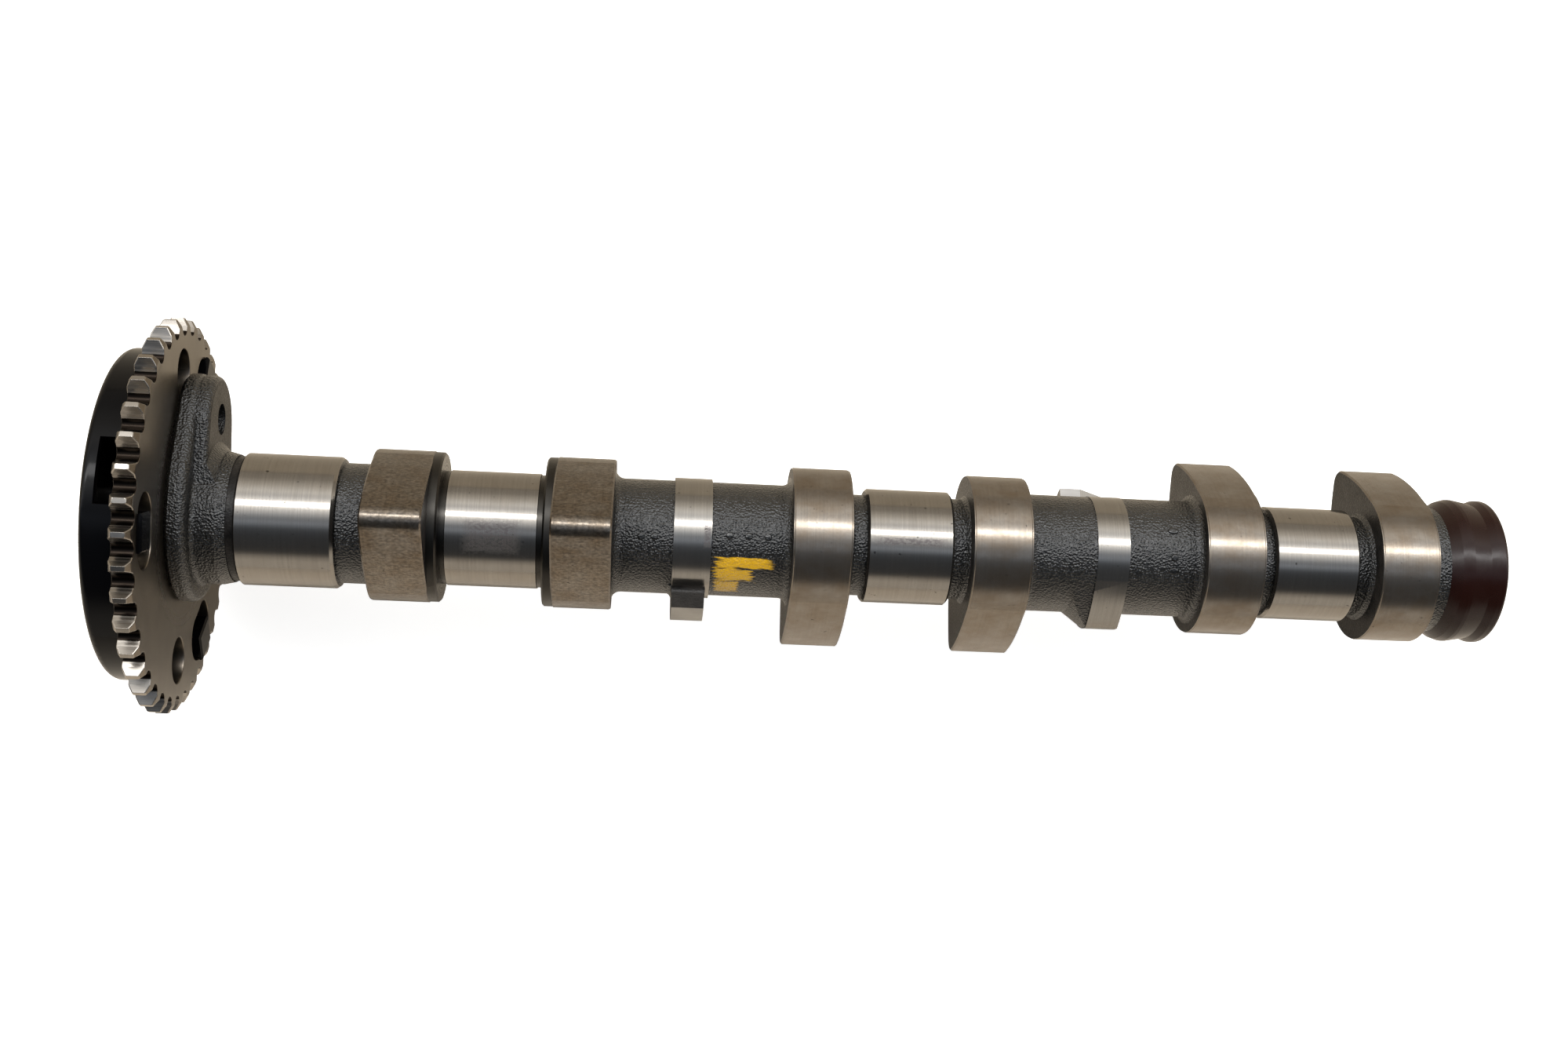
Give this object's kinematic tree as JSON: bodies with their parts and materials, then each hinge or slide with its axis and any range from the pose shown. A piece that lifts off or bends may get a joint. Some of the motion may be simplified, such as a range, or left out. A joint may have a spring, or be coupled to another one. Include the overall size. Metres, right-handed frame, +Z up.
{
  "type": "camshaft",
  "caption": "Engine camshaft: ground cam lobes and journals on a cast shaft with trigger rings, a flange with its chain sprocket and separator cup, and a ribbed seal at the far end.",
  "frame": {"origin": "on the shaft's axis, at the sprocket-side edge of the first journal's ground surface", "axes": "+X along the shaft's axis from the sprocket to the sealed end, +Z up with the first pair of noses 4 degrees off it, +Y towards the flange's ear"},
  "size_m": [0.2987, 0.0844, 0.0844],
  "materials": {
    "chilled_iron": "as cast between ground lobes, journals and rings",
    "sprocket_steel": "satin faces, chain-polished teeth",
    "black_moulding": "glossy, oiled",
    "fastener_steel": "phosphated",
    "dowel_steel": "ground",
    "seal_rubber": "semi-gloss"
  },
  "bodies": {
    "root": {"camshaft": "chilled_iron", "drive_sprocket": "sprocket_steel", "separator_cup": "black_moulding", "sprocket_bolt": "fastener_steel", "bolt_washer": "fastener_steel", "sprocket_dowel": "dowel_steel", "end_seal": "seal_rubber"}
  },
  "joints": []
}
